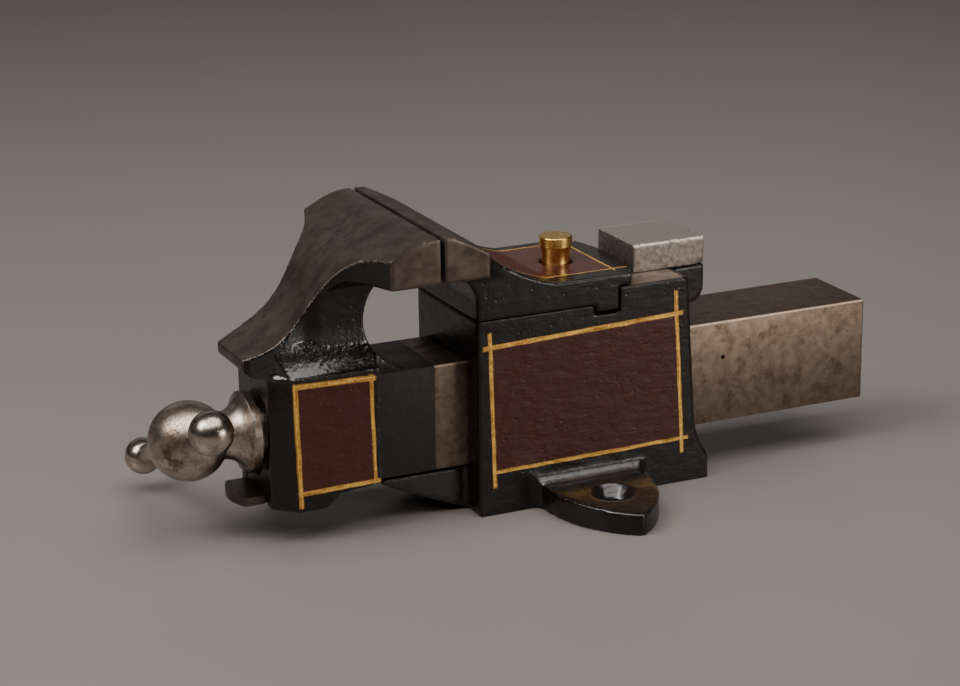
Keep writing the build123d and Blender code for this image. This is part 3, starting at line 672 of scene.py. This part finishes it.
spine = (sideways < 0.6) & (normal[:, 2] > 0.1) & (z > 50.8) & ((x < -66) | (z > 70))
lip = (x < -99.6) & (z > 50.2)
head_end = (from_middle > head_half_width) & (z > head_underside)
paint(front_jaw, "bare", spine | lip | head_end)
fade_in = numpy.clip((z - 46.5) / 1.5, 0, 1)
fade_out = numpy.clip((60.5 - z) / 3.5, 0, 1)
paint(front_jaw, "hammered", fade_in * fade_out * (from_middle > shoulder_gap))
paint_edges(front_jaw)
settle(front_jaw, "front_jaw", "black_paint", front_finish, "front_jaw")
fit_facing(front_plate, "front_jaw", edge_x=-50.1, seed=22, finish=front_finish, node="front_jaw_plate")
cover(bolt_steel, "front_plate_rivets")


# Slide bar and its screws. A steel bar, hollow and open below, is screwed up into the front
# jaw and runs through the base. Black paint covers it a little way behind the jaw, and the
# rest is worn bare, scratched lengthwise, stained and pitted.
slide = copy_of("slide_bar", "slide_worn")
bpy.ops.object.mode_set(mode="EDIT")
bpy.ops.mesh.select_all(action="SELECT")
bpy.ops.mesh.dissolve_limited(angle_limit=math.radians(1))
bpy.ops.object.mode_set(mode="OBJECT")
modify(slide, "BEVEL", width=0.35 * MM, segments=3, limit_method="ANGLE", angle_limit=math.radians(40),
       harden_normals=False)
bpy.ops.object.shade_smooth_by_angle(angle=math.radians(25))
slide_tones = ((0.135, 0.099, 0.074), (0.235, 0.180, 0.140), (0.085, 0.052, 0.034))
# The slide's long top edges are painted lighter: a painted highlight.
settle(slide, "front_jaw", "bare_steel",
       steel("slide_steel", *slide_tones, stain_share=0.50, blot=2.8, gloss=0.44, scratch=(20, 1, 1),
             pitting=1.0, painted_before=-44.6, highlight_ridge=58.0, pit=(48.1, -13.4, 33.5)), "slide_bar")
cover(bolt_steel, "slide_screws")


# Screw and thrust washer. The ball head, flared collar and journal are turned in one piece
# with the thread, which is a coarse trapezium cut to a little over the root, and a turned
# washer takes the thrust on the front pad.
screw_tones = ((0.26, 0.21, 0.17), (0.56, 0.49, 0.43), (0.085, 0.048, 0.030))
screw_metal = steel("screw_steel", *screw_tones, stain_share=0.62, blot=5.0, gloss=0.31)
thread_start, thread_end = -82.5, 66.0
screw_axis = 29.2
pitch = 3.0
root_r, crest_r, blank_r = 4.7, 5.98, 6.5
turns = 52
screw = copy_of("screw", "ball_headed_screw")
bpy.ops.object.mode_set(mode="EDIT")
bpy.ops.mesh.select_all(action="SELECT")
bpy.ops.mesh.bisect(plane_co=(thread_start * MM, 0, 0), plane_no=(1, 0, 0), use_fill=True, clear_outer=True)
bpy.ops.object.mode_set(mode="OBJECT")
profile = bpy.data.meshes.new("thread_profile")
flank = [(0.0, root_r), (0.30, root_r), (0.48, crest_r), (0.82, crest_r), (1.0, root_r)]
profile.from_pydata([((thread_start - pitch + step * pitch) * MM, 0, reach * MM) for step, reach in flank],
                    [(k, k + 1) for k in range(4)], [])
thread = bpy.data.objects.new("thread", profile)
bpy.context.scene.collection.objects.link(thread)
modify(thread, "SCREW", axis="X", screw_offset=pitch * MM, angle=math.tau, steps=32, render_steps=32,
       iterations=turns, use_merge_vertices=True, merge_threshold=0.001 * MM)
bpy.ops.object.mode_set(mode="EDIT")
bpy.ops.mesh.select_all(action="DESELECT")
bpy.ops.mesh.select_non_manifold()
bpy.ops.mesh.edge_face_add()
bpy.ops.mesh.select_all(action="SELECT")
bpy.ops.mesh.normals_make_consistent(inside=False)
bpy.ops.object.mode_set(mode="OBJECT")
thread.location = (0, 0, screw_axis * MM)
select_only(thread)
bpy.ops.object.transform_apply(location=True)
bpy.ops.object.select_all(action="DESELECT")
bpy.ops.mesh.primitive_cylinder_add(vertices=64, radius=blank_r * MM, depth=(thread_end - thread_start) * MM,
                                    location=((thread_start + thread_end) / 2 * MM, 0, screw_axis * MM),
                                    rotation=(0, math.pi / 2, 0))
blank = bpy.context.object
modify(blank, "BEVEL", width=1.9 * MM, segments=1, limit_method="ANGLE", angle_limit=math.radians(60))
modify(thread, "BOOLEAN", operation="INTERSECT", solver="EXACT", object=blank)
bpy.data.objects.remove(blank)
modify(screw, "BOOLEAN", operation="UNION", solver="EXACT", object=thread)
bpy.data.objects.remove(thread)
select_only(screw)
bpy.ops.object.shade_smooth_by_angle(angle=math.radians(32))
settle(screw, "screw", "screw_steel", screw_metal, "screw")
cover(screw_metal, "thrust_washer")


# Screw keeper. A forked plate of flat steel drops into the slot of the pad and holds the
# groove of the screw, with its foot bent forwards as a thumb tab.
cover(steel("keeper_steel", *jaw_tones, stain_share=0.4, gloss=0.38), "screw_keeper")


# Sliding handle. A steel rod passes through the ball of the screw, and a turned ball is
# pressed on each end so that it cannot fall out.
cover(steel("handle_steel", *screw_tones, stain_share=0.45, blot=5.0, gloss=0.24),
      "handle_rod", "handle_ball_near", "handle_ball_far")
